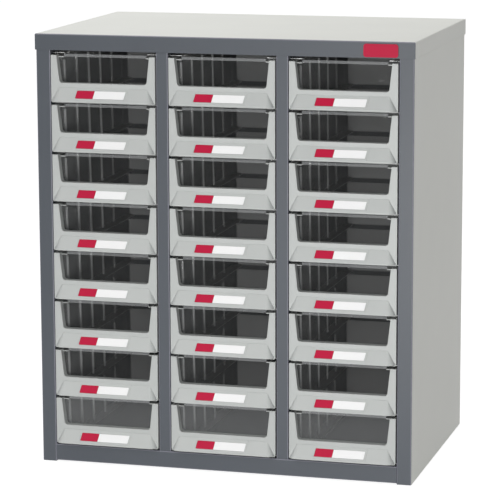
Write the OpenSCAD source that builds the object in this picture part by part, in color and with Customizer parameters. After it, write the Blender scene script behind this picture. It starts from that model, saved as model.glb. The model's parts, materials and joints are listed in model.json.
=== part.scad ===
// Steel parts bin cabinet: three columns of eight clear-fronted drawers.
// Millimetres. +X right, +Y to the back, +Z up. The origin is under the middle of the cabinet's
// whole box, on the surface that it stands on, and the drawers open towards -Y.

/* [Cabinet] */
// Width of one drawer opening, between the posts or mullions
cell_w = 167.5; // [150:0.5:190]
// Height of one row of drawers
row_h = 76; // [72:0.5:90]
// Width of the post face at each side
post_w = 22.5; // [20:0.5:30]
// Width of the mullion face between two columns
mullion_w = 18.5; // [15:0.5:26]
// Depth of the carcass, from the post face to the back
body_d = 392; // [385:1:480]
// Height of the openings' bottom edge above the floor
base_h = 27.5; // [20:0.5:45]
// Height of the head above the openings, cap included
head_h = 25.5; // [25:0.5:40]
// Extra height of the openings above the top row of drawers
head_gap = 4.5; // [2:0.5:8]
// How far the bottom rail and the floor pan stand clear of the floor
base_raise = 1.5; // [1.5:0.1:6]

/* [Sheet metal] */
// Thickness of all folded sheets
sheet = 1; // [0.8:0.1:1.5]
// Middle radius of the bends
bend_r = 1.2; // [1:0.1:2]
// Depth of the flange that folds back from each post face
return_d = 18; // [10:0.5:24]
// Width of the flanges at the back edges of the side panels
rear_flange = 16; // [14:0.5:24]
// Width of the flanges along the bottom edges of the side panels
foot_flange = 15; // [10:0.5:20]
// Width of the flanges that spread at the back of a partition
web_flange = 12; // [8:0.5:20]
// Depth of the hem folded back along the top of the bottom rail
rail_hem = 12; // [6:0.5:16]
// Height of the floor pan's turned-up ends
pan_upturn = 15; // [8:0.5:20]

/* [Top cap] */
// Height of the cap's flange
cap_h = 24.5; // [15:0.5:25]
// How far the cap stands out past the carcass on every side
cap_over = 1.25; // [1.1:0.05:2]

/* [Runners] */
// Width of the ledge that carries a drawer
ledge_w = 18; // [16:0.5:22]
// Height of the runner's leg against the wall
runner_leg = 11; // [8:0.5:14]
// Distance from the post face to the front end of the leg
runner_start = 22; // [20.5:0.5:30]
// Gap between the bottom rail's hem and the nose of the ledge
nose_gap = 2.5; // [1:0.5:5]
// Gap between a drawer's floor and its ledge
run_gap = 0.3; // [0.2:0.05:0.5]
// How far a drawer opens before its ears meet the stops
travel = 270; // [200:1:275]

/* [Drawer front] */
// Gap at each side of a drawer front
front_gap = 1.5; // [1:0.1:2.5]
// Gap between one drawer front and the next one up
row_gap = 4; // [3:0.1:6]
// How far the front's face stands out from the posts
front_proud = 1.5; // [0:0.1:3]
// Thickness of the front's face plate
plate_t = 2.7; // [2.5:0.1:3.5]
// Wall of the front's sides
front_side_t = 2; // [1.5:0.1:2]
// Radius of the front's bottom corners
front_r = 3; // [1:0.5:5]
// Height of the window's sill above the opening's bottom edge
sill_z = 32; // [30:0.5:38]
// Width of each upright at its top
upright_w = 8.8; // [7:0.2:12]
// How much wider each upright gets down to the sill
upright_flare = 4.6; // [0:0.2:6]
// Radius of the window's bottom corners
window_r = 5; // [2:0.5:8]
// Wall of the flange that runs back round the window
flange_t = 1.8; // [1.5:0.1:2]
// Depth of the front's sides behind the post face
side_d = 19.5; // [17:0.5:20]
// How far the tabs reach in over the tub's rim
tab_w = 17; // [14:0.5:24]
// Thickness of the tabs
tab_t = 1.5; // [1.2:0.1:2.5]
// Depth of the tabs
tab_d = 10.5; // [8:0.5:12]
// Distance from the uprights' tops down to the tabs
tab_drop = 2.6; // [1:0.1:4]

/* [Pull lip] */
// Height of the band between the window and the lip
sill_band = 6.5; // [4:0.5:9]
// How far the lip's top edge is set back under the band
lip_set = 0.8; // [0.5:0.1:1.5]
// How far the lip's bottom edge stands out from the front's face
lip_out = 10; // [7:0.5:14]
// Height of the lip's bottom above the front's bottom edge
lip_rise = 2.2; // [0:0.1:4]
// Height of the lip's upright bottom edge
lip_edge = 1.5; // [1:0.1:4]
// Wall of the lip over the finger pocket
lip_t = 2; // [1.5:0.1:3]
// Distance from the lip's foot to the side of the front
lip_inset = 1.75; // [1:0.25:5]

/* [Label holder] */
// Length of the label's slot
label_len = 77; // [50:1:95]
// Height of the label's slot, seen from the front
label_h = 11.6; // [9:0.1:12]
// Height of the slot's bottom edge above the front's bottom edge
label_z = 7.7; // [6:0.1:8]
// Shift of the slot from the middle of the front
label_x = -2.5; // [-10:0.5:10]
// How far the slot's ends lean
label_lean = 2; // [0:0.1:6]
// Border of the pad round the slot
pad_border = 2.6; // [1.5:0.1:3]
// Height of the pad above the lip
pad_t = 0.4; // [0.3:0.1:1.2]
// Depth of the slot in the pad
slot_d = 0.8; // [0.5:0.1:0.8]

/* [Drawer tub] */
// Gap between the tub's back and the back panel
tub_back_gap = 40.8; // [25:0.1:60]
// How far the tub's front wall is set back from the front's face
tub_set = 12.5; // [10:0.5:15]
// Height of the tub's floor above the opening's bottom edge
tub_raise = 1.1; // [0.9:0.1:1.5]
// Thickness of the tub's walls and floor
tub_t = 1.8; // [1.5:0.1:2.5]
// Gap at each side between the tub's rim and the front's sides
tub_gap = 0.75; // [0.5:0.05:1]
// How far the rim stands out from the tub's walls
tub_rim_w = 3.5; // [3:0.25:5]
// Height of the rim
tub_rim_h = 2; // [1.5:0.1:3]
// How much the side walls lean in from rim to floor
tub_draft = 1.7; // [0.5:0.1:2.5]
// Chamfer along the tub's bottom edges
tub_chamfer = 2; // [1:0.5:4]
// Height of the band along the top of the tub's front wall
band_h = 4; // [2:0.5:6]
// How far the band stands out from the wall
band_out = 1.2; // [0.5:0.1:2]
// How far the band rises above the front's uprights
band_rise = 1; // [-1:0.1:1.2]
// Gap between the tub and the front's flange and tabs
clip_gap = 0.2; // [0.1:0.05:0.4]
// Length of the ears on the back of the rim
ear_len = 12; // [8:1:20]
// Gap between the ears and the ledge above them
ear_gap = 1.2; // [0.8:0.1:2]
// Distance from the front wall to the first divider slot
slot_first = 22.5; // [15:0.5:60]
// Distance between divider slots
slot_pitch = 56; // [40:0.5:80]
// Width of a divider slot
slot_w = 1.8; // [1.2:0.1:3]
// Thickness of the ribs beside a slot
rib_t = 1.5; // [1:0.1:2]
// How far the ribs stand out from the wall
rib_out = 1.6; // [1:0.1:2.5]
// Distance from the ribs' tops to the rim's top
rib_drop = 6; // [2:0.5:20]

/* [Badge] */
// Width of the blank badge
badge_w = 52; // [30:1:70]
// Height of the badge
badge_h = 19.5; // [10:0.5:22]
// Corner radius of the badge
badge_r = 4; // [1:0.5:6]
// Distance from the cabinet's top to the badge's middle
badge_drop = 13.3; // [11:0.1:14]
// Thickness of the badge
badge_t = 1.4; // [0.8:0.1:2]
// Distance from the badge's end to the line of the right post's inner edge
badge_in = 1.5; // [0:0.5:20]

/* [Rivets] */
// Diameter of a rivet's shank
rivet_d = 3.2; // [2.4:0.1:4]
// Diameter of a rivet's head
rivet_head_d = 6.4; // [5:0.1:8]
// Height of a rivet's head
rivet_head_h = 1; // [0.6:0.1:1]
// Clearance of the shank in its hole, on the radius
rivet_gap = 0.1; // [0.05:0.01:0.2]
// Distance of the rivets from the cabinet's side
rivet_in = 9; // [7:0.5:10]
// Height of the lowest rivets
rivet_low = 60; // [40:1:100]
// Distance between rivets
rivet_pitch = 130; // [90:1:160]

/* [Hidden] */
COLUMNS = ["a", "b", "c"];
ROWS = ["1", "2", "3", "4", "5", "6", "7", "8"];
CARCASS = ["top_cap", "side_panel_left", "side_panel_right", "side_liner_left", "side_liner_right",
           "partition_left", "partition_right", "back_panel", "floor_pan", "drawer_runners",
           "badge_plate", "back_rivets"];
function tub_name(c, r) = str("drawer_", c, r, "_tub");
function front_name(c, r) = str("drawer_", c, r, "_front");
TUBS = [for (c = COLUMNS) for (r = ROWS) tub_name(c, r)];
FRONTS = [for (c = COLUMNS) for (r = ROWS) front_name(c, r)];
$fn = 48;

// far enough past any face that a cutter ends in the open
over = 1;
// what a piece keeps from the one that it is pushed over
seat_gap = 0.1;
cols = len(COLUMNS);
rows = len(ROWS);
mid_col = (cols - 1) / 2;
col_step = cell_w + mullion_w;
body_w = 2 * post_w + cols * cell_w + (cols - 1) * mullion_w;
open_top = base_h + rows * row_h + head_gap;
body_h = open_top + head_h;
half_w = body_w / 2;
skin_in = half_w - sheet;
post_in = half_w - post_w;
// inside radius of a bend, and how far a corner near the cap's own bend stays below the cap
bend_in = bend_r - sheet / 2;
cap_gap = cap_over - sheet;
cap_drop = cap_gap < bend_in ? bend_in - sqrt(pow(bend_in, 2) - pow(bend_in - cap_gap, 2)) : 0;
under_cap = body_h - sheet - cap_drop - seat_gap;
// the box runs from the lips' edges to the cap's back flange
total_d = lip_out + front_proud + body_d + cap_over;
y_front = lip_out + front_proud - total_d / 2;
y_back = y_front + body_d;
pan_top = base_raise + sheet;

front_w = cell_w - 2 * front_gap;
front_z0 = row_gap / 2;
front_z1 = row_h - row_gap / 2;
face_y = -front_proud;
plate_back = face_y + plate_t;
tub_y0 = face_y + tub_set;
flange_y = tub_y0 - clip_gap;
sill_half = front_w / 2 - upright_w - upright_flare;
window_half = front_w / 2 - upright_w;

lip_z1 = sill_z - sill_band;
lip_foot_z = front_z0 + lip_rise;
lip_z0 = lip_foot_z + lip_edge;
lip_y = face_y + lip_set;
lip_reach = lip_out + lip_set;
lip_slope = lip_reach / (lip_z1 - lip_z0);
// how far a sloped wall of thickness t moves along Y
function along_y(t) = t * sqrt(1 + lip_slope * lip_slope);
lip_foot = front_w / 2 - lip_inset;
lip_end = lip_foot - lip_reach;

tub_y1 = body_d - 2 * sheet - tub_back_gap;
tub_z0 = tub_raise;
tab_z1 = front_z1 - tab_drop;
tub_z1 = tab_z1 - tab_t - clip_gap;
tab_in = front_w / 2 - tab_w;
band_z1 = front_z1 + band_rise;
tub_rim_half = front_w / 2 - front_side_t - tub_gap;
tub_half = tub_rim_half - tub_rim_w;
ledge_z = tub_z0 - run_gap;
nose_y = rail_hem + nose_gap;
ear_z1 = row_h + ledge_z - sheet - ear_gap;
ear_front = tub_y1 - ear_len;
stop_y = ear_front - travel - run_gap;
// the last divider slot stays well clear of the back wall
slot_clear = 40;
slot_count = floor((tub_y1 - tub_y0 - 2 * tub_t - slot_first - slot_clear) / slot_pitch) + 1;

rivet_count = floor((open_top - rivet_low) / rivet_pitch) + 1;
rivet_x = half_w - rivet_in;
rivet_tail = 1.6;

PALE = [0.84, 0.85, 0.82];
DARK = [0.36, 0.38, 0.41];
GREY_ABS = [0.78, 0.80, 0.79];
CLEAR = [0.62, 0.66, 0.68, 0.4];
RED = [0.76, 0.10, 0.17];
ZINC = [0.72, 0.73, 0.74];

// ---- ways of drawing ---------------------------------------------------------------------

// a plan outline, raised from z0 to z1
module rise(z0, z1) { translate([0, 0, z0]) linear_extrude(z1 - z0) children(); }

// an outline in X and Z, from y0 back to y1
module slab(y0, y1) { translate([0, y1, 0]) rotate([90, 0, 0]) linear_extrude(y1 - y0) children(); }

// an outline in Y and Z, from x0 to x1
module run(x0, x1) { translate([x0, 0, 0]) rotate([90, 0, 90]) linear_extrude(x1 - x0) children(); }

module box(x0, x1, y0, y1, z0, z1) { translate([x0, y0, z0]) cube([x1 - x0, y1 - y0, z1 - z0]); }

function unit(v) = v / norm(v);

// A folded sheet seen from its edge: p is its middle line, with square corners, and each corner
// becomes a bend of middle radius r.
module fold(p, t = sheet, r = bend_r) {
  last = len(p) - 1;
  for (i = [0:last - 1]) {
    d = unit(p[i + 1] - p[i]);
    a = p[i] + (i > 0 ? r : 0) * d;
    b = p[i + 1] - (i < last - 1 ? r : 0) * d;
    side = [abs(d.y), abs(d.x)] * t;
    translate([min(a.x, b.x), min(a.y, b.y)] - side / 2)
      square([abs(b.x - a.x), abs(b.y - a.y)] + side);
  }
  for (i = [1:last - 1]) bend(p[i], unit(p[i] - p[i - 1]), unit(p[i + 1] - p[i]), t, r);
}

// one quarter bend at corner c, coming in along d0 and leaving along d1
module bend(c, d0, d1, t, r) {
  q = d0 - d1;
  s = r + t;
  translate(c - r * q)
    intersection() {
      difference() {
        circle(r + t / 2);
        circle(r - t / 2);
      }
      translate([min(0, q.x * s), min(0, q.y * s)]) square(s);
    }
}

// a rectangle whose lower corners have radius r
module rounded_foot(half, z0, z1, r) {
  translate([-half, z0 + r]) square([2 * half, z1 - z0 - r]);
  translate([r - half, z0]) square([2 * (half - r), 2 * r]);
  for (s = [-1, 1]) translate([s * (half - r), z0 + r]) circle(r);
}

module both_sides() {
  children();
  mirror([1, 0, 0]) children();
}

// ---- carcass -----------------------------------------------------------------------------

// the right-hand side panel: rear flange, skin, post face and the flange behind the post's edge
module side_panel() {
  m = sheet / 2;
  color(PALE)
    difference() {
      union() {
        rise(0, under_cap)
          fold([[half_w - rear_flange, y_back - m], [half_w - m, y_back - m], [half_w - m, y_front + m],
                [post_in + m, y_front + m], [post_in + m, y_front + return_d]]);
        box(half_w - foot_flange, skin_in + m, y_front + return_d, y_back - rear_flange, 0, sheet);
      }
      rivet_holes();
    }
}

// the right-hand liner: it carries on from the post's flange and turns out to meet the skin
module side_liner() {
  m = sheet / 2;
  y = y_back - 2 * sheet - m;
  color(DARK)
    difference() {
      rise(pan_top, under_cap)
        fold([[post_in + m, y_front + return_d], [post_in + m, y], [skin_in, y]]);
      rivet_holes();
    }
}

// a channel with its face in front and two webs, between two columns
module partition(x) {
  m = sheet / 2;
  w = mullion_w / 2;
  y = y_back - 2 * sheet - m;
  color(DARK)
    difference() {
      translate([x, 0, 0]) rise(pan_top, under_cap)
        fold([[-w - web_flange, y], [m - w, y], [m - w, y_front + m], [w - m, y_front + m], [w - m, y],
              [w + web_flange, y]]);
      box(x - w - over, x + w + over, y_front - over, y_front + rail_hem + over, 0, base_h);
    }
}

module back_panel() {
  color(DARK)
    difference() {
      box(bend_in - skin_in, skin_in - bend_in, y_back - 2 * sheet, y_back - sheet, base_raise, under_cap);
      rivet_holes();
    }
}

// the floor, its turned-up ends and the bottom rail, folded from one sheet
module floor_pan() {
  m = sheet / 2;
  end = y_back - 3 * sheet - run_gap;
  start = y_front + return_d + run_gap;
  color(DARK) {
    run(-post_in, post_in)
      fold([[y_front + rail_hem, base_h - m], [y_front + m, base_h - m], [y_front + m, base_raise + m],
            [end, base_raise + m]]);
    difference() {
      both_sides()
        slab(start, end)
          fold([[0, base_raise + m], [skin_in - m, base_raise + m], [skin_in - m, base_raise + pan_upturn]]);
      box(-post_in, post_in, start - over, end + over, 0, base_h);
    }
  }
}

// a shallow pan with its four edges folded down, over the carcass
module cap_form(inset) {
  x = half_w + cap_over - inset;
  y0 = y_front - cap_over + inset;
  y1 = y_back + cap_over - inset;
  z = body_h - inset;
  r = bend_r + sheet / 2 - inset;
  intersection() {
    slab(y0, y1) mirror([0, 1]) rounded_foot(x, -z, cap_h - body_h + inset, r);
    run(-x, x)
      translate([(y0 + y1) / 2, 0]) mirror([0, 1])
        rounded_foot((y1 - y0) / 2, -z, cap_h - body_h + inset, r);
  }
}

module top_cap() {
  color(PALE)
    difference() {
      cap_form(0);
      cap_form(sheet);
    }
}

// one angle: its ledge carries the drawer above, keeps the ears of the one below from
// rising, and has the stop that those ears meet
module runner() {
  wall = cell_w / 2;
  box(wall - ledge_w, wall, nose_y, tub_y1, ledge_z - sheet, ledge_z);
  box(wall - sheet, wall, runner_start, tub_y1, ledge_z - runner_leg, ledge_z);
  box(tub_half, tub_rim_half, stop_y - sheet, stop_y, tub_z1 + run_gap - row_h, ledge_z);
}

module drawer_runners() {
  color(ZINC)
    for (i = [0:cols - 1], k = [0:rows])
      translate([(i - mid_col) * col_step, y_front, base_h + k * row_h]) both_sides() runner();
}

module badge_plate() {
  x1 = post_in - badge_in;
  z = body_h - badge_drop;
  w = badge_w / 2 - badge_r;
  h = badge_h / 2 - badge_r;
  y = y_front - cap_over;
  color(RED)
    translate([x1 - badge_w / 2, 0, z])
      slab(y - badge_t, y) {
        square([badge_w, 2 * h], center = true);
        square([2 * w, badge_h], center = true);
        for (i = [-1, 1], j = [-1, 1]) translate([i * w, j * h]) circle(badge_r);
      }
}

module at_rivets() {
  for (k = [0:rivet_count - 1]) both_sides()
    translate([rivet_x, y_back, rivet_low + k * rivet_pitch]) rotate([90, 0, 0]) children();
}

module rivet_holes() {
  at_rivets() translate([0, 0, -over]) cylinder(d = rivet_d + 2 * rivet_gap, h = 3 * sheet + 2 * over);
}

// each rivet clamps the rear flange, the back panel and the liner
module back_rivets() {
  color(ZINC)
    at_rivets() {
      translate([0, 0, -rivet_head_h]) cylinder(d = rivet_head_d, h = rivet_head_h);
      cylinder(d = rivet_d, h = 3 * sheet + rivet_tail);
      translate([0, 0, 3 * sheet]) cylinder(d = (rivet_d + rivet_head_d) / 2, h = rivet_tail);
    }
}

// ---- drawer: its own axes have X in the middle of the opening, Y at the post face and Z at
// the opening's bottom edge --------------------------------------------------------------------

// the window grown by b, open at the top, with its sides leaning out and its lower corners round
module window(b) {
  lean = atan2(upright_flare, front_z1 - sill_z);
  half = sill_half + b * (1 / cos(lean) - tan(lean));
  r = window_r + b;
  cx = half + r * tan(lean) - r / cos(lean);
  cz = sill_z - b + r;
  side = [cx + r * cos(lean), cz - r * sin(lean)];
  top = [window_half + b / cos(lean) + over * tan(lean), front_z1 + over];
  polygon([[-cx, sill_z - b], [cx, sill_z - b], side, top, [-top.x, top.y], [-side.x, side.y]]);
  for (s = [-1, 1]) translate([s * cx, cz]) circle(r);
}

// The lip's swept form: a wedge that ends in a quarter of a cone at each side. reach is its
// depth at the bottom, from the plane where it starts, and z0 is the bottom.
module lip_form(reach, z0) {
  h = reach / lip_slope;
  intersection() {
    union() {
      run(-lip_end, lip_end) polygon([[0, z0], [-reach, z0], [-reach, lip_z0], [0, lip_z0 + h]]);
      both_sides() translate([lip_end, 0, 0]) {
        translate([0, 0, z0]) cylinder(r = reach, h = lip_z0 - z0);
        translate([0, 0, lip_z0]) cylinder(r1 = reach, r2 = 0, h = h);
      }
    }
    box(-front_w, front_w, -2 * reach, 0, z0, lip_z1);
  }
}

// the bed of the lip, where the plate is set back so that the band above overhangs it
module lip_bed() {
  slab(face_y - over, lip_y)
    polygon([[-lip_foot, front_z0 - over], [lip_foot, front_z0 - over], [lip_foot, lip_z0],
             [lip_end, lip_z1], [-lip_end, lip_z1], [-lip_foot, lip_z0]]);
}

// a leaning strip of the label holder, grown by b round the slot, up to z1
module label_outline(b, z1) {
  z0 = front_z0 + label_z - b;
  k = label_lean / label_h;
  half = label_len / 2 + b;
  function lean(z) = label_x + k * (z - front_z0 - label_z - label_h / 2);
  polygon([[lean(z0) - half, z0], [lean(z0) + half, z0], [lean(z1) + half, z1], [lean(z1) - half, z1]]);
}

// a layer on the lip's slope, from height t0 to t1 above it
module on_slope(t0, t1) {
  a = along_y(t0);
  b = along_y(t1);
  intersection() {
    run(-front_w, front_w)
      polygon([[lip_y - a, lip_z1], [lip_y - lip_reach - a, lip_z0], [lip_y - lip_reach - b, lip_z0],
               [lip_y - b, lip_z1]]);
    slab(face_y - lip_out, plate_back) children();
  }
}

module front_outline(inset, z1) {
  rounded_foot(front_w / 2 - inset, front_z0 + inset, z1, front_r - inset);
}

// the plate, the flange round its window, its rim down to the tub, and the sides that run on
module front_frame() {
  difference() {
    union() {
      difference() {
        slab(face_y, plate_back) front_outline(0, front_z1);
        lip_bed();
      }
      slab(plate_back, flange_y) {
        difference() {
          front_outline(0, front_z1);
          front_outline(front_side_t, front_z1 + over);
        }
        intersection() {
          window(flange_t);
          front_outline(0, front_z1);
        }
      }
      both_sides()
        box(front_w / 2 - front_side_t, front_w / 2, plate_back, side_d, front_z0 + front_r, front_z1);
    }
    slab(face_y - over, flange_y + over) window(0);
  }
}

module drawer_front() {
  color(GREY_ABS)
    difference() {
      union() {
        front_frame();
        both_sides() box(tab_in, front_w / 2, side_d - tab_d, side_d, tab_z1 - tab_t, tab_z1);
        translate([0, lip_y, 0]) lip_form(lip_reach, lip_foot_z);
        on_slope(-lip_t / 2, pad_t) label_outline(pad_border, lip_z1);
      }
      translate([0, lip_y, 0]) lip_form(lip_reach - along_y(lip_t), lip_foot_z - over);
      on_slope(pad_t - slot_d, pad_t + slot_d) label_outline(0, front_z0 + label_z + label_h);
    }
}

// the tub's section: half widths of the leaning side walls, at height z and inset t
function tub_side(z, t) = tub_half - t - tub_draft * (tub_z1 - z) / (tub_z1 - tub_z0);

module tub_section(t) {
  z0 = tub_z0 + t;
  z1 = tub_z1 + (t > 0 ? over : 0);
  c = tub_chamfer;
  x0 = tub_side(z0, t);
  xc = tub_side(z0 + c, t);
  x1 = tub_side(z1, t);
  polygon([[c - x0, z0], [x0 - c, z0], [xc, z0 + c], [x1, z1], [-x1, z1], [-xc, z0 + c]]);
}

// two strips along the side walls' inner faces
module rib_section() {
  z0 = tub_z0 + tub_t / 2;
  z1 = tub_z1 - rib_drop;
  for (s = [-1, 1])
    polygon([[s * tub_side(z0, tub_t / 2), z0], [s * tub_side(z1, tub_t / 2), z1],
             [s * tub_side(z1, tub_t + rib_out), z1], [s * tub_side(z0, tub_t + rib_out), z0]]);
}

// the front wall's thicker top, which stands up between the tabs
module tub_band() {
  half = tab_in - clip_gap;
  box(-half, half, tub_y0, tub_y0 + tub_t, tub_z1 - tub_t, band_z1);
  box(-half, half, tub_y0 - band_out, tub_y0 + tub_t, band_z1 - band_h, band_z1);
}

module drawer_tub() {
  color(CLEAR)
    union() {
      difference() {
        union() {
          slab(tub_y0, tub_y1) tub_section(0);
          box(-tub_rim_half, tub_rim_half, tub_y0, tub_y1, tub_z1 - tub_rim_h, tub_z1);
        }
        slab(tub_y0 + tub_t, tub_y1 - tub_t) tub_section(tub_t);
      }
      tub_band();
      for (i = [0:slot_count - 1], s = [-1, 1])
        translate([0, tub_y0 + tub_t + slot_first + i * slot_pitch + s * (slot_w + rib_t) / 2, 0])
          slab(-rib_t / 2, rib_t / 2) rib_section();
      both_sides() box(tub_half, tub_rim_half, ear_front, tub_y1, tub_z1 - tub_rim_h, ear_z1);
    }
}

module in_cell(i, k) {
  translate([(i - mid_col) * col_step, y_front, base_h + (rows - 1 - k) * row_h]) children();
}

// ---- the nodes -----------------------------------------------------------------------------

top_cap();
mirror([1, 0, 0]) side_panel();  // side_panel_left
side_panel();  // side_panel_right
mirror([1, 0, 0]) side_liner();  // side_liner_left
side_liner();  // side_liner_right
partition(-col_step / 2);  // partition_left
partition(col_step / 2);  // partition_right
back_panel();
floor_pan();
drawer_runners();
badge_plate();
back_rivets();
for (i = [0:cols - 1], k = [0:rows - 1]) {
  in_cell(i, k) drawer_tub();
  in_cell(i, k) drawer_front();
}
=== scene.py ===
# %% [markdown]
# # A steel cabinet with twenty-four clear-fronted drawers
#
# Shops keep screws and fittings in cabinets like this one: a folded steel carcass, and drawers
# made of a clear moulded tub with a grey moulded front clipped over it. The carcass, the tubs and
# the fronts come from the CAD model at their real size, so this lesson adds what a drawing board
# can't give: paint, plastic, labels, light and a camera.
#
# Everything is in metres. +X is to the right, +Y to the back and +Z up, and each moving piece
# rides on a body, so that the finished scene still works when a drawer is pulled out.

# %% Load the frame
import json
from math import cos, radians, sin

import bmesh
import bpy
from mathutils import Matrix, Vector

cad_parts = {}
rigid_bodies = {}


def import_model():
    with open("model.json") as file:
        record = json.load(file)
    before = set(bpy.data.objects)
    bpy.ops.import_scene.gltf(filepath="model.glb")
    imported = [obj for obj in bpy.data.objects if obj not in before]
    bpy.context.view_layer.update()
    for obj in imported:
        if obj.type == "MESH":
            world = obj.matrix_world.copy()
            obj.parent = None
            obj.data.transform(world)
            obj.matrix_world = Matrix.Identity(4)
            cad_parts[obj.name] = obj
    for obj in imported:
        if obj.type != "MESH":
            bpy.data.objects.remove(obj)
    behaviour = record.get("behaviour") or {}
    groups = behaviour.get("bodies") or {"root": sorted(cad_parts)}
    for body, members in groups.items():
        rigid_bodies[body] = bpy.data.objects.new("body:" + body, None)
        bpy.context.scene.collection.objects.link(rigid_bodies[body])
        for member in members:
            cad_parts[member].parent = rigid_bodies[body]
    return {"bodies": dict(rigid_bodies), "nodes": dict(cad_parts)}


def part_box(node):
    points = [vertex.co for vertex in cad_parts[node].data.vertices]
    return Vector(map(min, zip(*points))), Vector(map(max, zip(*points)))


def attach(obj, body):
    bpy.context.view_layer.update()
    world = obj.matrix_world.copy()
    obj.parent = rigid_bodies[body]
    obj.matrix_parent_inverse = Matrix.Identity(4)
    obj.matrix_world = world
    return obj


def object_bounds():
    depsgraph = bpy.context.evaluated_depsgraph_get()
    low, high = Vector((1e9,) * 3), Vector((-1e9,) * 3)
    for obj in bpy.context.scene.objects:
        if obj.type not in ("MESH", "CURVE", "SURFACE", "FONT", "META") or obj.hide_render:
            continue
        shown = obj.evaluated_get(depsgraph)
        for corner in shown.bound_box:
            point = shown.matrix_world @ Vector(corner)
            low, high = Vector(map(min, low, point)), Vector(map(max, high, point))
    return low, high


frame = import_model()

cad_low, cad_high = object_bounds()
cad_middle = (cad_low + cad_high) / 2
drawers = sorted(name for name in frame["bodies"] if name.startswith("drawer_"))
MM = 0.001
PLAY = 0.3 * MM  # the gap beside a plate, and the width of a sharp step in a pattern
print("frame:", len(frame["nodes"]), "nodes and", len(drawers), "drawers")

# %% [markdown]
# ## Where the camera stands
#
# A cabinet is seen best from a little to one side and from a little above, so that its front, one
# side and its top all show. A long lens from far away keeps upright edges nearly parallel, as
# catalogue pictures do. The camera could be turned with Euler angles, but a right, an up and a
# backward vector say more plainly what it does.

# %% The camera
CAMERA_PLACE = Vector((1.0423, -3.8189, 1.0315))
CAMERA_YAW = radians(15.40)
CAMERA_PITCH = radians(10.30)
CAMERA_ROLL = radians(-0.17)
LENS_MM = 183.56
SENSOR_MM = 36


def camera_turn(yaw, pitch, roll):
    """The turn of a camera that looks along +Y, then goes left by yaw, down by pitch, and rolls."""
    ahead = Vector((-sin(yaw) * cos(pitch), cos(yaw) * cos(pitch), -sin(pitch)))
    level = ahead.cross(Vector((0, 0, 1))).normalized()
    upward = level.cross(ahead)
    right = cos(roll) * level + sin(roll) * upward
    up = -sin(roll) * level + cos(roll) * upward
    return Matrix((right, up, -ahead)).transposed().to_4x4()


lens = bpy.data.cameras.new("studio_camera")
lens.lens = LENS_MM
lens.sensor_width = SENSOR_MM
camera = bpy.data.objects.new("studio_camera", lens)
turn = camera_turn(CAMERA_YAW, CAMERA_PITCH, CAMERA_ROLL)
camera.matrix_world = Matrix.Translation(CAMERA_PLACE) @ turn
bpy.context.scene.collection.objects.link(camera)
bpy.context.scene.camera = camera
bpy.context.scene.view_settings.view_transform = "Standard"
print("camera:", round((CAMERA_PLACE - cad_middle).length, 2), "m from the cabinet")

# %% [markdown]
# ## Shader sums that read like sums
#
# A node tree can be wired by hand, one link at a time, but then nobody can read what it works
# out. Here a wire stands for one output socket. Adding or multiplying wires adds Math nodes, so
# `1 - mask` is a sum and also a piece of the tree. Every other node comes from one method.
#
# A socket is found by its name. The Mix node needs numbers instead, because it has several sockets
# called A, B and Result, one set for each kind of data, and only the colour set is wanted here.

# %% A wire in a shader tree
MIX_FACTOR, MIX_FIRST, MIX_SECOND, MIX_RESULT = 0, 6, 7, 2


class Wire:
    """One output socket of a material's tree."""

    def __init__(self, tree, socket=None):
        self.tree = tree
        self.socket = socket

    def node(self, kind, settings=None, sockets=None, out=0):
        """Adds a node. Its settings are set first, and then its sockets take values or wires."""
        made = self.tree.nodes.new("ShaderNode" + kind)
        for name, value in (settings or {}).items():
            setattr(made, name, value)
        for name, value in (sockets or {}).items():
            if isinstance(value, Wire):
                self.tree.links.new(value.socket, made.inputs[name])
            else:
                made.inputs[name].default_value = value
        return Wire(self.tree, made.outputs[out])

    def math(self, operation, *values):
        """A Math node on these values or wires, in this order."""
        return self.node("Math", {"operation": operation}, dict(enumerate(values)))

    def __add__(self, other):
        return self.math("ADD", self, other)

    def __sub__(self, other):
        return self.math("SUBTRACT", self, other)

    def __rsub__(self, other):
        return self.math("SUBTRACT", other, self)

    def __mul__(self, other):
        return self.math("MULTIPLY", self, other)

    def __truediv__(self, other):
        return self.math("DIVIDE", self, other)

    def __abs__(self):
        return self.math("ABSOLUTE", self)

    __radd__ = __add__
    __rmul__ = __mul__

    def larger(self, other):
        return self.math("MAXIMUM", self, other)

    def ramp(self, low, high):
        """0 below low, 1 above high, and a soft step between them."""
        sockets = {"Value": self, "From Min": low, "From Max": high}
        return self.node("MapRange", {"interpolation_type": "SMOOTHSTEP"}, sockets)

    def times(self, other):
        """This colour multiplied by another, channel by channel."""
        settings = {"data_type": "RGBA", "blend_type": "MULTIPLY"}
        sockets = {MIX_FACTOR: 1.0, MIX_FIRST: self, MIX_SECOND: other}
        return self.node("Mix", settings, sockets, out=MIX_RESULT)

    def blend(self, first, second):
        """A colour that goes from first to second as this wire goes from 0 to 1."""
        sockets = {MIX_FACTOR: self, MIX_FIRST: first, MIX_SECOND: second}
        return self.node("Mix", {"data_type": "RGBA"}, sockets, out=MIX_RESULT)


print("wires: sums, ramps and blends make their own nodes")

# %% [markdown]
# ## What every finish shares
#
# A real surface is never one flat colour. Powder coat has a fine orange peel, a mould leaves a
# soft grain, and both are cleaner in the middle of a panel than near its edges. Noise at two
# sizes gives that. Sharp CAD edges would look cut with a knife, so a Bevel node turns the normal
# near each edge, and the angle between the plain normal and the bevelled one says where an edge
# is. That edge mask is where finishes paint their wear and a painted highlight. Bevel modifiers
# could round the edges too, but CAD meshes are left as they are.

# %% Colours
def grey(value, tint=(1, 1, 1)):
    """A colour socket's value for a plain grey, with a slight tint."""
    return tuple(value * t for t in tint) + (1,)


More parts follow.
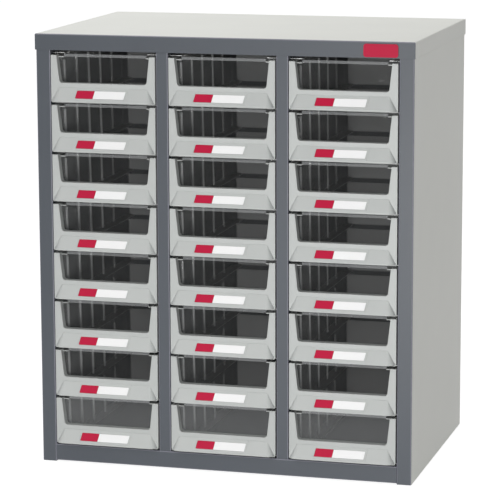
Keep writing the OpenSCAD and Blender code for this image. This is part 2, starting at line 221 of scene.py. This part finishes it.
def srgb(red, green, blue):
    """The linear colour of a paint that reads as these 0 to 255 values under plain light."""
    parts = [v / 255 for v in (red, green, blue)]
    return tuple(v / 12.92 if v <= 0.04045 else ((v + 0.055) / 1.055) ** 2.4 for v in parts) + (1,)


def shade(colour, factor):
    """A colour made darker or lighter by a factor."""
    return tuple(v * factor for v in colour[:3]) + (1,)


print("a middle grey paint is", round(srgb(128, 128, 128)[0], 3), "in linear colour")

# %% Grain and edges
BEVEL_SAMPLES = 6
EDGE_STARTS, EDGE_FULL = 0.02, 0.25


class Finish:
    """A material being made: its tree, and the wires that most finishes start from."""

    def __init__(self, name, edge=0.6 * MM):
        self.material = bpy.data.materials.new(name)
        self.material.use_nodes = True
        self.tree = self.material.node_tree
        self.shader = self.tree.nodes["Principled BSDF"]
        self.out = self.tree.nodes["Material Output"]
        start = Wire(self.tree)
        self.place = start.node("TexCoord", out="Object")
        self.normal = start.node("NewGeometry", out="Normal")
        self.bevel = start.node("Bevel", {"samples": BEVEL_SAMPLES}, {"Radius": edge})
        sockets = {0: self.normal, 1: self.bevel}
        match = start.node("VectorMath", {"operation": "DOT_PRODUCT"}, sockets, out="Value")
        self.edge = (1 - match).ramp(EDGE_STARTS, EDGE_FULL)

    def axis(self, letter):
        """The place along X, Y or Z, in metres."""
        return self.place.node("SeparateXYZ", sockets={"Vector": self.place}, out=letter)

    def looks(self, letter):
        """How much the surface looks along X, Y or Z, from -1 to 1."""
        return self.normal.node("SeparateXYZ", sockets={"Vector": self.normal}, out=letter)

    def noise(self, size, detail=2.0, roughness=0.5):
        """Noise from 0 to 1 whose lumps are about this many metres across."""
        sockets = {"Vector": self.place, "Scale": 1 / size}
        sockets.update({"Detail": detail, "Roughness": roughness})
        return self.place.node("TexNoise", sockets=sockets)

    def bump(self, height, depth):
        """Bends the bevelled normal by a height wire, with depth in metres for 0 to 1."""
        sockets = {"Height": height, "Distance": depth, "Strength": 1.0, "Normal": self.bevel}
        self.set("Normal", self.place.node("Bump", sockets=sockets))

    def set(self, socket, value):
        """Gives a socket of the shader a value or a wire."""
        if isinstance(value, Wire):
            self.tree.links.new(value.socket, self.shader.inputs[socket])
        else:
            self.shader.inputs[socket].default_value = value


def dress(material, *nodes):
    """Gives CAD nodes a material in place of the plain one that they came with."""
    for node in nodes:
        for slot in frame["nodes"][node].material_slots:
            slot.material = material


print("edge mask: from", EDGE_STARTS, "to", EDGE_FULL)

# %% [markdown]
# ## Powder coat in two colours
#
# The shell is pale warm grey and the frame that faces the drawers is dark blue-grey. On the real
# cabinet the posts and the cap are masked before the second colour, and the line between the two
# runs along the bends. The CAD has one piece for a post and its side, because one sheet makes
# both, so the paint itself has to know where it is: whatever lies in front of the bend is dark.
#
# A folded cabinet shows a light line down every fold, where the bend catches the light, so the
# paint has a painted highlight along each bend. A face on a bend looks along none of the three
# axes, and that is how the paint finds it: the largest part of its normal falls well below one.

# %% Where bends get a painted highlight
BEND_STARTS, BEND_FULL = 0.005, 0.03


def on_bend(finish):
    """1 where the sheet turns a corner, and 0 on its flat faces."""
    x, y, z = [abs(finish.looks(letter)) for letter in "XYZ"]
    return (1 - x.larger(y.larger(z))).ramp(BEND_STARTS, BEND_FULL)


print("a bend shows where the largest part of the normal is below", 1 - BEND_STARTS)

# %% Pale and dark powder coat
PALE = srgb(229, 230, 223)
DARK = srgb(74, 79, 86)
# Worn edges and bends take a lighter colour: wear and a painted highlight on edges, a painted
# highlight on bends.
RUBBED_AND_LIT = srgb(172, 170, 184)
RUB_AND_HIGHLIGHT_LIFT = 1.04
EDGE_WEAR_AND_HIGHLIGHT = 0.2
BEND_HIGHLIGHT = 0.4
PAINT_ROUGH = 0.37
PEEL = 1.6 * MM
PEEL_DEPTH = 0.012 * MM
CLOUDS = 110 * MM
SPECKLE = 0.9 * MM
BEND = 1.7 * MM
PAINT_LINE = 0.25 * MM


def powder_coat(name, colour, front_line, inner_line=None):
    """Satin powder coat. In front of front_line, and inside inner_line, it is dark."""
    finish = Finish(name)
    front = 1 - finish.axis("Y").ramp(front_line - PAINT_LINE, front_line + PAINT_LINE)
    if inner_line is not None:
        inner = 1 - abs(finish.axis("X")).ramp(inner_line - PAINT_LINE, inner_line + PAINT_LINE)
        front = front.larger(inner)
    clouds = finish.noise(CLOUDS, detail=3)
    speckle = finish.noise(SPECKLE, detail=1)
    light = 0.94 + clouds * 0.09 + speckle * 0.03
    tint = light.node("CombineColor", sockets={"Red": light, "Green": light, "Blue": light})
    shaded = front.blend(colour, DARK).times(tint)
    # Edges are lighter from wear and a painted highlight, and every bend gets a painted highlight.
    worn_and_lit = (finish.edge * EDGE_WEAR_AND_HIGHLIGHT).larger(on_bend(finish) * BEND_HIGHLIGHT)
    rubbed_and_lit = front.blend(shade(colour, RUB_AND_HIGHLIGHT_LIFT), RUBBED_AND_LIT)
    finish.set("Base Color", worn_and_lit.blend(shaded, rubbed_and_lit))
    finish.set("Roughness", PAINT_ROUGH + clouds * 0.08 + speckle * 0.04)
    finish.bump(finish.noise(PEEL, detail=1), PEEL_DEPTH)
    return finish.material


print("powder coat: peel", PEEL, "m across and", PEEL_DEPTH, "m deep")

# %% Paint the carcass
post_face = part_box("side_panel_right")[0].y
post_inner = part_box("side_panel_right")[0].x
cap_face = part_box("top_cap")[0].y
dress(powder_coat("cap_paint", PALE, cap_face + BEND), "top_cap")
side_paint = powder_coat("side_paint", PALE, post_face + BEND, post_inner + 2 * BEND)
dress(side_paint, "side_panel_left", "side_panel_right")
frame_paint = powder_coat("frame_paint", DARK, post_face + BEND)
dress(frame_paint, "partition_left", "partition_right", "floor_pan", "back_panel",
      "side_liner_left", "side_liner_right")
print("paint: post face at", round(post_face, 4), "and cap face at", round(cap_face, 4))

# %% [markdown]
# ## Runners, rivets and the badge
#
# The runners are zinc plated, which leaves a pale metal with soft cloudy patches, and the drawers
# polish their upper faces. Rivets are bare aluminium with a fine grain. The badge is a plain red
# moulding.

# %% Runners and rivets
POLISH_STARTS, POLISH_FULL = 0.5, 0.9


def zinc_plate():
    """Zinc plate, smoother on the faces that look up."""
    finish = Finish("runner_zinc", edge=0.4 * MM)
    upward = finish.looks("Z").ramp(POLISH_STARTS, POLISH_FULL)
    clouds = finish.noise(7 * MM, detail=4)
    finish.set("Base Color", clouds.blend(grey(0.58), grey(0.72)))
    finish.set("Metallic", 0.6)
    finish.set("Roughness", 0.46 - upward * 0.14 + clouds * 0.06)
    finish.bump(clouds, depth=0.03 * MM)
    return finish.material


def rivet_metal():
    """Bare aluminium with a fine grain."""
    finish = Finish("rivet_aluminium", edge=0.3 * MM)
    grain = finish.noise(0.5 * MM, detail=3)
    finish.set("Base Color", grain.blend(grey(0.55), grey(0.72)))
    finish.set("Metallic", 1.0)
    finish.set("Roughness", 0.3 + grain * 0.15)
    finish.bump(grain, depth=0.02 * MM)
    return finish.material


dress(zinc_plate(), "drawer_runners")
dress(rivet_metal(), "back_rivets")
print("metal: zinc on the runners and aluminium on the rivets")

# %% The badge
RED = srgb(190, 2, 58)


def red_plastic(name):
    """Plain red moulding, darker in patches, with edges paler by wear and a painted highlight."""
    finish = Finish(name, edge=0.3 * MM)
    clouds = finish.noise(8 * MM, detail=2)
    # Edges go paler: partly wear, partly a painted highlight.
    worn_and_lit = (finish.edge * 0.25).blend(clouds.blend(shade(RED, 0.9), RED), shade(RED, 1.5))
    finish.set("Base Color", worn_and_lit)
    finish.set("Roughness", 0.45 + clouds * 0.1)
    finish.set("Specular IOR Level", 0.25)
    finish.bump(finish.noise(1.2 * MM), depth=0.01 * MM)
    return finish.material


dress(red_plastic("badge_red"), "badge_plate")
print("badge: plain red")

# %% [markdown]
# ## The grey drawer fronts
#
# A front is injection moulded in pale grey ABS. The mould is spark-eroded, which leaves a very
# fine satin grain, and the gate leaves faint flow marks. Its edges are painted paler, partly wear
# and partly a painted highlight.

# %% Grey moulded plastic
ABS = srgb(186, 189, 187)


def grey_plastic():
    """Grey moulding: flow marks, satin grain, and edges paler by wear and a painted highlight."""
    finish = Finish("front_plastic_grey", edge=0.7 * MM)
    flow = finish.noise(30 * MM, detail=2)
    grain = finish.noise(0.7 * MM, detail=1)
    body = flow.blend(shade(ABS, 0.96), shade(ABS, 1.03))
    # Edges go paler: partly wear, partly a painted highlight.
    finish.set("Base Color", (finish.edge * 0.35).blend(body, grey(0.74)))
    finish.set("Roughness", 0.38 + flow * 0.1 + grain * 0.05)
    finish.bump(grain, depth=0.01 * MM)
    return finish.material


dress(grey_plastic(), *(name + "_front" for name in drawers))
print("fronts:", len(drawers), "in grey plastic")

# %% [markdown]
# ## The clear tubs
#
# A tub is clear polystyrene under two millimetres thick. Real refraction in Cycles would cost
# much noise and keep the lamps out of the drawer, so the wall is a mix: mostly see-through, and
# a pale plastic that takes more of the mix where the wall is seen along its length. Layer Weight
# gives that share. Along edges and divider ribs the eye looks through much more plastic, and they
# are painted whiter, a painted glint for the light caught there. The ribs are the only faces
# inside a tub that look to the front or the back. Walls and ribs near the window catch more
# daylight than those deep inside, so both shares fall with depth, except that the front's own
# frame shades the first ribs behind it. The wall next to each rib has a soft pale streak, a
# painted highlight that widens the rib's glint.
#
# Three places are hazier than the rest: the band along the top of the front wall, because it is
# thick, the back wall, which has a fine etched grain, and the front walls of the bottom row, where
# the haze is a painted glare. Every drawer has its band at another height, but rows repeat, so
# what is left over after dividing by the row height is the height inside a drawer.

# %% A tub's ends, its band and the bottom row's painted glare
END_ZONE = 4 * MM
BAND = 4 * MM
tub_low, tub_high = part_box(drawers[0] + "_tub")
row_height = tub_low.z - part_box(drawers[1] + "_tub")[0].z
bottom_row_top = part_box(drawers[7] + "_tub")[1].z


def end_masks(finish):
    """1 on a tub's front wall, and 1 on its back wall."""
    y = finish.axis("Y")
    back = y.ramp(tub_high.y - END_ZONE - PLAY, tub_high.y - END_ZONE)
    front = 1 - y.ramp(tub_low.y + END_ZONE, tub_low.y + END_ZONE + PLAY)
    return front, back


def band_and_glare_masks(finish, front):
    """1 on the band of every front wall, and 1 on the front walls of the bottom row."""
    z = finish.axis("Z")
    rows_up = (z - tub_low.z) / row_height
    height = row_height * rows_up.math("FRACT", rows_up)
    band_low = tub_high.z - tub_low.z - BAND
    band = front * height.ramp(band_low - PLAY, band_low)
    # The front walls of the bottom row take a painted glare.
    bottom_glare = front * (1 - z.ramp(bottom_row_top, bottom_row_top + PLAY))
    return band, bottom_glare


print("tubs: rows of", round(row_height, 4), "m, the lowest up to", round(bottom_row_top, 4), "m")

# %% A tub's walls, its ribs and their daylight
RIB_FIRST = 25.5 * MM
RIB_PITCH = 56 * MM
RIB_ROOT = 8 * MM
WALL_STARTS, WALL_FULL = 0.6, 0.9
DAYLIGHT_STARTS, DAYLIGHT_FULL = 0.2, 0.6
FRAME_SHADE = 1.4


def inner_masks(finish, front, back):
    """1 on the side walls, on the ribs, and on the wall beside each rib's foot."""
    sides = abs(finish.looks("X")).ramp(WALL_STARTS, WALL_FULL)
    ribs = abs(finish.looks("Y")).ramp(WALL_STARTS, WALL_FULL) * (1 - front) * (1 - back)
    past_first = finish.axis("Y") - (tub_low.y + RIB_FIRST)
    from_rib = past_first.math("PINGPONG", past_first, RIB_PITCH / 2)
    return sides, ribs, sides * (1 - from_rib.ramp(0, RIB_ROOT))


def daylight(finish):
    """How near the window a place is, from 0 to 1, and how much daylight its ribs catch."""
    near = (tub_high.y - finish.axis("Y")) / (tub_high.y - tub_low.y)
    return near, near.ramp(DAYLIGHT_STARTS, DAYLIGHT_FULL) * (FRAME_SHADE - near)


print("tubs: the first ribs", RIB_FIRST, "m behind the front, and then every", RIB_PITCH, "m")

# %% [markdown]
# The pale plastic's share of the mix is a sum over those zones. Each has a weight of its own, so
# that one zone can be made clearer or hazier without a change to the others. Where the name of a
# weight ends in DAYLIGHT, it grows with the daylight that reaches the place.

# %% Clear moulded plastic
SMOKE = (0.94, 0.937, 0.932, 1)
CLEAR_BODY = grey(0.62, (0.97, 1.0, 1.02))
GRAZING = 0.25
PLAIN_SHARE = 0.006
CLOUD_SHARE = 0.012
WALL_SHARE = 0.32
GRAZING_SHARE = 0.17
# Ribs, edges and the wall beside each rib are whiter as a painted glint and highlight.
RIB_GLINT_SHARE = 0.2
RIB_DAYLIGHT = 0.8
EDGE_GLINT_SHARE = 0.6
ROOT_GLINT_SHARE = 0.12
ROOT_DAYLIGHT = 0.4
BACK_SHARE = 0.42
BAND_SHARE = 0.2
FRONT_SHARE = 0.003
# The bottom row's front walls get a painted glare.
BOTTOM_GLARE_SHARE = 0.078


def clear_plastic():
    """Clear plastic as a mix of see-through and a pale body, hazier in some zones than others."""
    finish = Finish("tub_plastic_clear", edge=0.5 * MM)
    clouds = finish.noise(25 * MM, detail=2)
    finish.set("Base Color", CLEAR_BODY)
    finish.set("Roughness", 0.1 + clouds * 0.06)
    finish.set("Normal", finish.bevel)

    front, back = end_masks(finish)
    band, bottom_glare = band_and_glare_masks(finish, front)
    sides, ribs, roots = inner_masks(finish, front, back)
    near, lit = daylight(finish)
    grazing = finish.place.node("LayerWeight", sockets={"Blend": GRAZING}, out="Facing")

    walls = sides * near * (near * WALL_SHARE) + grazing * near * GRAZING_SHARE
    share = PLAIN_SHARE + clouds * CLOUD_SHARE + walls
    # Ribs and edges take a painted glint, and the wall beside each rib a painted highlight.
    share = share + ribs * (RIB_GLINT_SHARE + lit * RIB_DAYLIGHT) + finish.edge * EDGE_GLINT_SHARE
    share = share + roots * (ROOT_GLINT_SHARE + lit * ROOT_DAYLIGHT)
    share = share + back * BACK_SHARE + band * BAND_SHARE
    share = share + front * FRONT_SHARE + bottom_glare * BOTTOM_GLARE_SHARE

    through = finish.place.node("BsdfTransparent", sockets={"Color": SMOKE})
    body = Wire(finish.tree, finish.shader.outputs["BSDF"])
    mixed = finish.place.node("MixShader", sockets={0: share, 1: through, 2: body})
    finish.tree.links.new(mixed.socket, finish.out.inputs["Surface"])
    return finish.material


dress(clear_plastic(), *(name + "_tub" for name in drawers))
print("tubs:", len(drawers), "in clear plastic")

# %% [markdown]
# ## Label cards and their red tabs
#
# Each front has a shallow slot on its slanted lip. A red tab fills its left end and a white card
# the rest, and both lean with the slot's slanting ends. They are thin plates, so each starts as
# one four-sided face laid on the slot's floor, which is then extruded by its thickness and has its
# four corners bevelled. The corners' places are worked out from the front's own box, so that every
# plate sits where its drawer is.

# %% Places on the lip's slope
LIP_FOOT = 3.7 * MM
LIP_REACH = 10.8 * MM
LIP_HEIGHT = 19.8 * MM
LIP_SLOPE = LIP_REACH / LIP_HEIGHT
SLOT_LOW = 7.7 * MM
SLOT_HIGH = 19.3 * MM
SLOT_MIDDLE = -2.5 * MM
SLOT_LENGTH = 77 * MM
SLOT_LEAN = 2 * MM
SLOT_FLOOR = -0.4 * MM
TAB_LENGTH = 27.5 * MM
CORNER = 0.8 * MM
CORNER_STEPS = 3
out_of_slope = Vector((0, -1, LIP_SLOPE)).normalized()


def on_lip(drawer, across, up):
    """A point on the floor of a front's label slot: across from its middle, up from its bottom."""
    low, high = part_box(drawer + "_front")
    share = (up - SLOT_LOW) / (SLOT_HIGH - SLOT_LOW) - 0.5
    x = (low.x + high.x) / 2 + SLOT_MIDDLE + across + SLOT_LEAN * share
    y = low.y + LIP_SLOPE * (up - LIP_FOOT)
    return Vector((x, y, low.z + up)) + SLOT_FLOOR * out_of_slope


print("slots:", SLOT_LENGTH, "m long on a slope of", round(LIP_SLOPE, 3))

# %% A thin plate in a slot
def finished(name, mesh, material):
    """Turns a bmesh into an object with one material, and frees the bmesh."""
    data = bpy.data.meshes.new(name)
    mesh.to_mesh(data)
    mesh.free()
    data.materials.append(material)
    piece = bpy.data.objects.new(name, data)
    bpy.context.scene.collection.objects.link(piece)
    return piece


def slot_plate(name, drawer, left, right, thickness, material):
    """A thin plate in the label slot, from left to right of the slot's middle."""
    low, high = SLOT_LOW + PLAY, SLOT_HIGH - PLAY
    corners = [(left, low), (right, low), (right, high), (left, high)]
    mesh = bmesh.new()
    face = mesh.faces.new([mesh.verts.new(on_lip(drawer, *c)) for c in corners])
    raised = bmesh.ops.extrude_face_region(mesh, geom=[face])["geom"]
    lifted = [v for v in raised if isinstance(v, bmesh.types.BMVert)]
    bmesh.ops.translate(mesh, verts=lifted, vec=thickness * out_of_slope)
    posts = [e for e in mesh.edges if (e.verts[0] in lifted) != (e.verts[1] in lifted)]
    bmesh.ops.bevel(mesh, geom=posts, offset=CORNER, affect="EDGES", segments=CORNER_STEPS,
                    profile=0.5, material=-1)
    bmesh.ops.recalc_face_normals(mesh, faces=mesh.faces[:])
    piece = finished(name, mesh, material)
    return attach(piece, drawer)


print("plates: corners bevelled by", CORNER, "m in", CORNER_STEPS, "steps")

# %% [markdown]
# White card is matt and slightly fibrous, and its colour is never a full white.

# %% Card and tabs
TAB_THICK = 0.7 * MM
CARD_THICK = 0.4 * MM


def white_card():
    """Matt white card with a fine fibre."""
    finish = Finish("label_card_white", edge=0.1 * MM)
    fibre = finish.noise(0.8 * MM, detail=4)
    finish.set("Base Color", fibre.blend(grey(0.89), grey(0.95)))
    finish.set("Roughness", 0.8 - fibre * 0.1)
    finish.bump(fibre, depth=0.02 * MM)
    return finish.material


card = white_card()
tab_red = red_plastic("tab_red")
slot_left = -SLOT_LENGTH / 2 + PLAY
slot_right = SLOT_LENGTH / 2 - PLAY
tab_end = slot_left + TAB_LENGTH
card_start = tab_end + PLAY
for name in drawers:
    slot_plate(name + "_label_tab", name, slot_left, tab_end, TAB_THICK, tab_red)
    slot_plate(name + "_label_card", name, card_start, slot_right, CARD_THICK, card)
print("labels:", 2 * len(drawers), "plates")

# %% [markdown]
# ## Studio: floor and world
#
# The floor is pale and the backdrop white. The lamps light the cabinet at a plain level, at which
# a colour looks as it is written, and the white comes from the floor and the world themselves,
# only for rays that come from the eye or from a mirror. The floor keeps the cabinet's shadow.
#
# Satin paint mirrors the floor. In mirrors the floor glows brighter near the cabinet than further
# out, a painted reflection that makes the foot of the frame look lighter than its top. Past a line
# in front of the cabinet the floor glows less in mirrors.

# %% Rays from the eye and rays from a mirror
def ray_kinds(start):
    """Two masks: rays from the eye, and rays that come off a mirror or through glass."""
    path = start.node("LightPath")
    outputs = path.socket.node.outputs
    names = ("Is Camera Ray", "Is Glossy Ray", "Is Transmission Ray")
    eye, mirror, glass = [Wire(start.tree, outputs[name]) for name in names]
    return eye, mirror.larger(glass)


print("rays: the eye's, and those off a mirror or through glass")

# %% A floor that is white for the eye
FLOOR_GREY = 0.34
FLOOR_ROUGH = 0.9
FLOOR_SHINE = 0.1
FLOOR_GLOW = 0.87
FLOOR_SIZE = 40
GLOW_EDGE = -1.5
GLOW_FADE = 0.6
NEAR_MIRROR_GLOW = 1.0
FAR_MIRROR_GLOW = 0.25


def pale_floor():
    """A pale floor whose glow is seen by the eye and by mirrors, but lights nothing."""
    material = bpy.data.materials.new("floor_white")
    material.use_nodes = True
    tree = material.node_tree
    shader = tree.nodes["Principled BSDF"]
    shader.inputs["Base Color"].default_value = grey(FLOOR_GREY)
    shader.inputs["Roughness"].default_value = FLOOR_ROUGH
    shader.inputs["Specular IOR Level"].default_value = FLOOR_SHINE
    shader.inputs["Emission Strength"].default_value = 1.0
    place = Wire(tree).node("TexCoord", out="Object")
    y = place.node("SeparateXYZ", sockets={"Vector": place}, out="Y")
    # In mirrors the floor glows brighter near the cabinet, a painted reflection that lightens the
    # foot of the frame.
    near_glow = y.ramp(GLOW_EDGE, GLOW_EDGE + GLOW_FADE)
    eye, mirror = ray_kinds(place)
    mirrored = FAR_MIRROR_GLOW + near_glow * (NEAR_MIRROR_GLOW - FAR_MIRROR_GLOW)
    glow = eye * FLOOR_GLOW + mirror * mirrored
    tree.links.new(glow.blend(grey(0), grey(1)).socket, shader.inputs["Emission Color"])
    return material


mesh = bmesh.new()
bmesh.ops.create_grid(mesh, x_segments=1, y_segments=1, size=FLOOR_SIZE / 2)
floor = finished("floor", mesh, pale_floor())
print("floor:", FLOOR_SIZE, "m across")

# %% A world that is white for the eye
WORLD_LIGHT = 0.43


def white_world():
    """A world that looks white and lights the cabinet at a lower, plain level."""
    world = bpy.data.worlds.new("studio_world")
    world.use_nodes = True
    tree = world.node_tree
    background = tree.nodes["Background"]
    background.inputs["Color"].default_value = grey(1)
    eye, mirror = ray_kinds(Wire(tree))
    strength = WORLD_LIGHT + eye.larger(mirror) * (1 - WORLD_LIGHT)
    tree.links.new(strength.socket, background.inputs["Strength"])
    bpy.context.scene.world = world


white_world()
print("world: white, and", WORLD_LIGHT, "as light")

# %% [markdown]
# ## Studio: lamps
#
# A large lamp to the left gives the front its shape, and a smaller one straight ahead fills the
# drawers. A little lamp near the floor lifts the lowest fronts, and one behind and above lights
# the top. All are square area lamps turned towards the middle of the cabinet, since a square of
# light gives the soft shadows of a studio box. They are hidden from the camera.

# %% Four lamps
LAMPS = {
    "key_lamp": {"place": (-1.2, -2.6, 1.9), "size": 1.8, "power": 19},
    "front_lamp": {"place": (0.5, -3.2, 0.3), "size": 0.9, "power": 27},
    "foot_lamp": {"place": (0.2, -1.5, 0.2), "size": 0.36, "power": 5},
    "back_lamp": {"place": (-0.7, 0.9, 2.1), "size": 1.4, "power": 10.5},
}


def softbox(name, target, place, size, power):
    """A square area lamp at a place, turned to face a target."""
    lamp = bpy.data.lights.new(name, "AREA")
    lamp.shape = "SQUARE"
    lamp.size = size
    lamp.energy = power
    box = bpy.data.objects.new(name, lamp)
    ahead = (Vector(target) - Vector(place)).normalized()
    box.rotation_euler = ahead.to_track_quat("-Z", "Y").to_euler()
    box.location = place
    box.visible_camera = False
    bpy.context.scene.collection.objects.link(box)


for name, lamp in LAMPS.items():
    softbox(name, cad_middle, **lamp)
print("lamps:", len(LAMPS), "with", sum(lamp["power"] for lamp in LAMPS.values()), "W in all")
